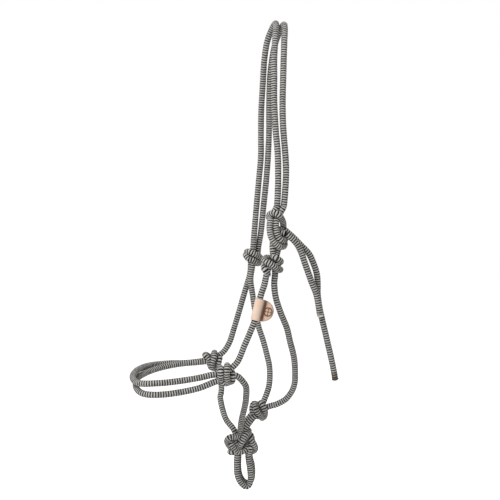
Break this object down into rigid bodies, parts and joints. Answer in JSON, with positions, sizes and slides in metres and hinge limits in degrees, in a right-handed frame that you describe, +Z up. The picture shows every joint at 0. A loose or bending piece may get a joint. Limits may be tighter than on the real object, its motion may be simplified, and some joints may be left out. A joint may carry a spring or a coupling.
{
  "type": "rope halter",
  "caption": "Horse rope halter tied from one braided cord, with doubled crown and noseband, throat latch, lead loop, two tails and a leather tag on the near cheek.",
  "frame": {"origin": "underside of the crown bend, where the poll or a tack hook holds the halter up", "axes": "+Z up along the hanging halter, the nose points along -X, the near side with the tie and the tag is -Y"},
  "size_m": [0.264, 0.1259, 0.6122],
  "materials": {
    "braided_cord": "braided black and white yarns, matte",
    "melted_end": "melted and pressed cord end",
    "tag_leather": "undyed veg-tan, burnished edge",
    "tag_thread": "waxed thread"
  },
  "bodies": {
    "crown": {"crown_strand_front": "braided_cord", "crown_strand_rear": "braided_cord", "tie_knot": "braided_cord", "near_throat_knot": "braided_cord", "off_throat_knot": "braided_cord"},
    "face": {"near_cheek_strand": "braided_cord", "off_cheek_strand": "braided_cord", "near_throat_strand": "braided_cord", "off_throat_strand": "braided_cord", "near_nose_knot": "braided_cord", "off_nose_knot": "braided_cord", "jaw_knot": "braided_cord", "jaw_link_near": "braided_cord", "jaw_link_off": "braided_cord", "near_chin_strand": "braided_cord", "off_chin_strand": "braided_cord", "fiador_knot": "braided_cord"},
    "noseband": {"noseband_upper_strand": "braided_cord", "noseband_lower_strand": "braided_cord"},
    "lead_loop": {"lead_loop_front": "braided_cord", "lead_loop_rear": "braided_cord"},
    "long_tail": {"long_tail": "braided_cord", "long_tail_tip": "melted_end"},
    "short_tail": {"short_tail": "braided_cord", "short_tail_tip": "melted_end"},
    "tag": {"tag_leather": "tag_leather", "tag_stitching": "tag_thread"}
  },
  "joints": [
    {"name": "face_swing", "type": "hinge", "parent": "crown", "child": "face", "pos_m": [-0.0225, 0, -0.3006], "axis": [0, 1, 0], "range_deg": [-35, 35], "stiffness_Nm_per_rad": 0.5, "springref_deg": 5.44},
    {"name": "noseband_fold", "type": "hinge", "parent": "face", "child": "noseband", "pos_m": [-0.0815, 0, -0.4391], "axis": [0, 1, 0], "range_deg": [-60, 80], "stiffness_Nm_per_rad": 0.15, "springref_deg": 5.91},
    {"name": "lead_loop_swing", "type": "hinge", "parent": "face", "child": "lead_loop", "pos_m": [-0.048, 0, -0.5506], "axis": [1, 0, 0], "range_deg": [-45, 45]},
    {"name": "long_tail_swing", "type": "hinge", "parent": "crown", "child": "long_tail", "pos_m": [-0.009, -0.051, -0.2566], "axis": [0, 1, 0], "range_deg": [-70, 8], "stiffness_Nm_per_rad": 0.05, "springref_deg": -5.45},
    {"name": "short_tail_swing", "type": "hinge", "parent": "crown", "child": "short_tail", "pos_m": [-0.007, -0.058, -0.2616], "axis": [0, 1, 0], "range_deg": [-70, 8], "stiffness_Nm_per_rad": 0.05, "springref_deg": -1.8},
    {"name": "tag_turn", "type": "hinge", "parent": "face", "child": "tag", "pos_m": [-0.0426, -0.05, -0.3571], "axis": [0.2417, 0, 0.9703], "continuous": true}
  ]
}
